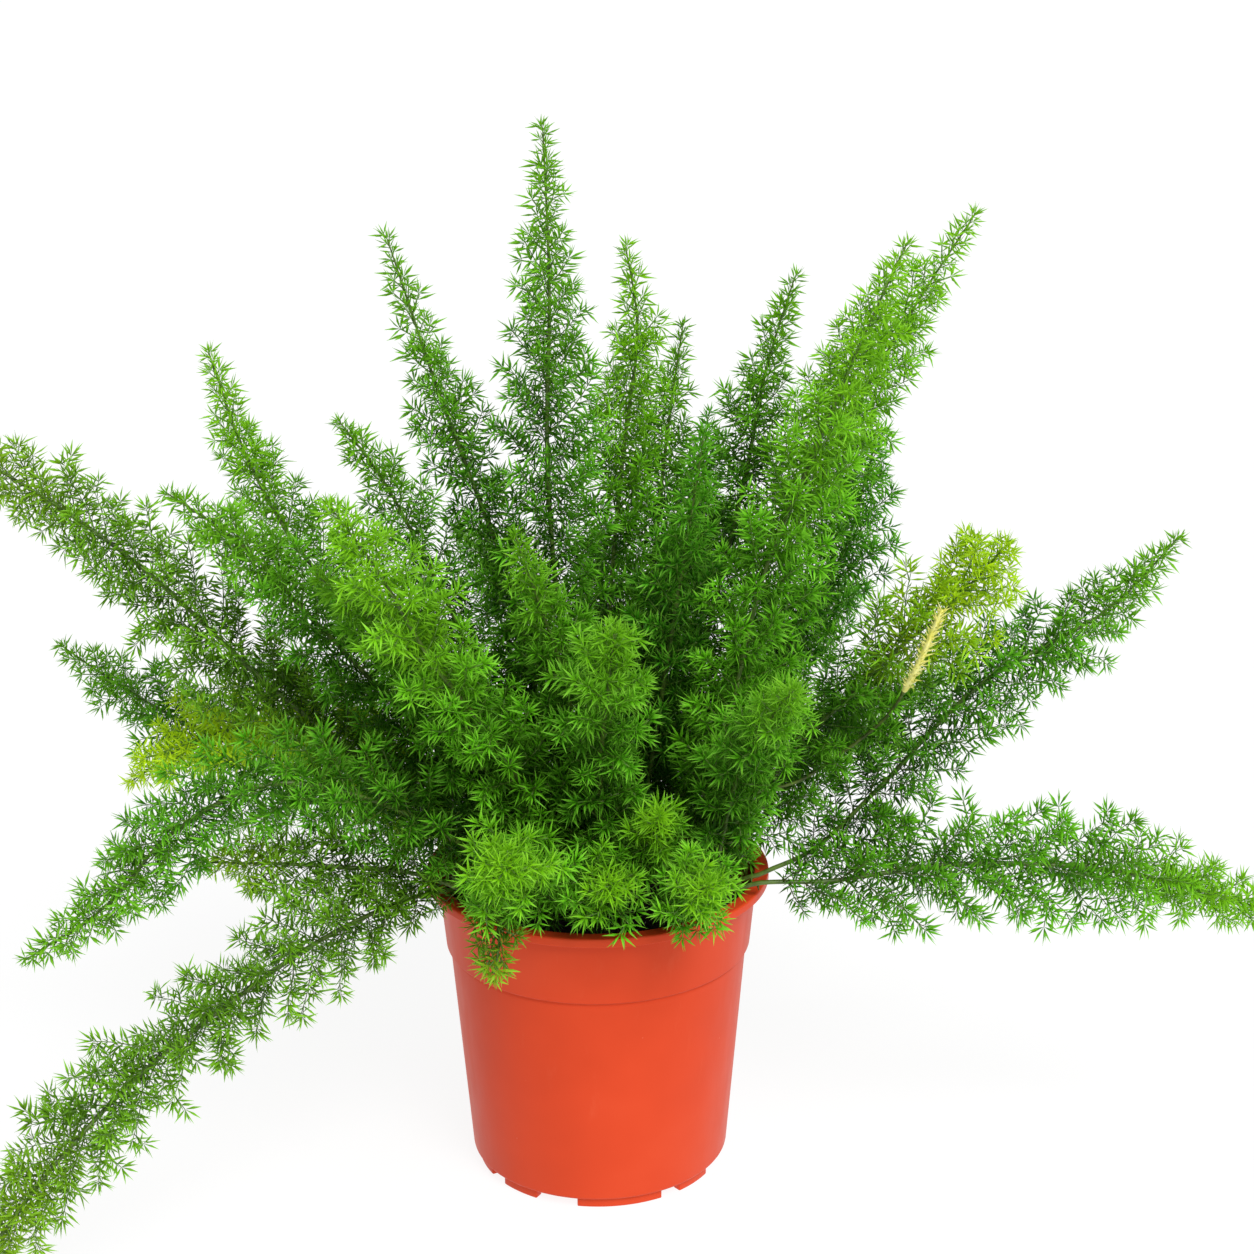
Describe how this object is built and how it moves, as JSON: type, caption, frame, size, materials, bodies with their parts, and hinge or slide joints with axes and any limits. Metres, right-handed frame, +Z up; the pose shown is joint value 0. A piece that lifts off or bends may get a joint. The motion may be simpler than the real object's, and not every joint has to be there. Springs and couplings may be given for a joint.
{
  "type": "foxtail fern in a nursery pot",
  "caption": "Foxtail fern with dense needle-leaved plumes that fan up, out and over the lip of a round tapered terracotta-coloured plastic nursery pot filled with dark soil.",
  "frame": {"origin": "middle of the pot's base, on the surface that the pot stands on", "axes": "+Z up, +X to the right of the plant seen from its front, +Y to its back"},
  "size_m": [0.691, 0.456, 0.521],
  "materials": {
    "pot_plastic": "satin moulded terracotta-coloured plastic",
    "peat": "rough, dark, moist peat",
    "dried_shoot": "matt, pale cream",
    "foliage_deep": "satin, dark green",
    "foliage_mid": "satin, mid green",
    "foliage_bright": "satin, bright green",
    "foliage_lime": "satin, yellow-green new growth",
    "foliage_olive": "satin, olive green"
  },
  "bodies": {
    "root": {"plume_01": "foliage_mid", "plume_02": "foliage_mid", "plume_03": "foliage_bright", "plume_04": "foliage_mid", "plume_05": "foliage_deep", "plume_06": "foliage_mid", "plume_07": "foliage_bright", "plume_08": "foliage_bright", "plume_09": "foliage_bright", "plume_10": "foliage_mid", "plume_11": "foliage_mid", "plume_12": "foliage_olive", "plume_13": "foliage_bright", "plume_14": "foliage_mid", "plume_15": "foliage_lime", "plume_16": "foliage_lime", "plume_17": "foliage_olive", "plume_18": "foliage_olive", "plume_19": "foliage_lime", "plume_20": "foliage_mid", "plume_21": "foliage_bright", "plume_22": "foliage_deep", "plume_23": "foliage_bright", "plume_24": "foliage_bright", "plume_25": "foliage_bright", "plume_26": "foliage_bright", "plume_27": "foliage_mid", "plume_28": "foliage_bright", "plume_29": "foliage_olive", "plume_30": "foliage_deep", "plume_31": "foliage_mid", "plume_32": "foliage_mid", "plume_33": "foliage_deep", "plume_34": "foliage_deep", "plume_35": "foliage_mid", "plume_36": "foliage_mid", "plume_37": "foliage_bright", "plume_38": "foliage_mid", "plume_39": "foliage_bright", "plume_40": "foliage_mid", "plume_41": "foliage_bright", "plume_42": "foliage_mid", "plume_43": "foliage_deep", "plume_44": "foliage_mid", "dried_shoot": "dried_shoot", "pot": "pot_plastic", "soil": "peat"}
  },
  "joints": []
}
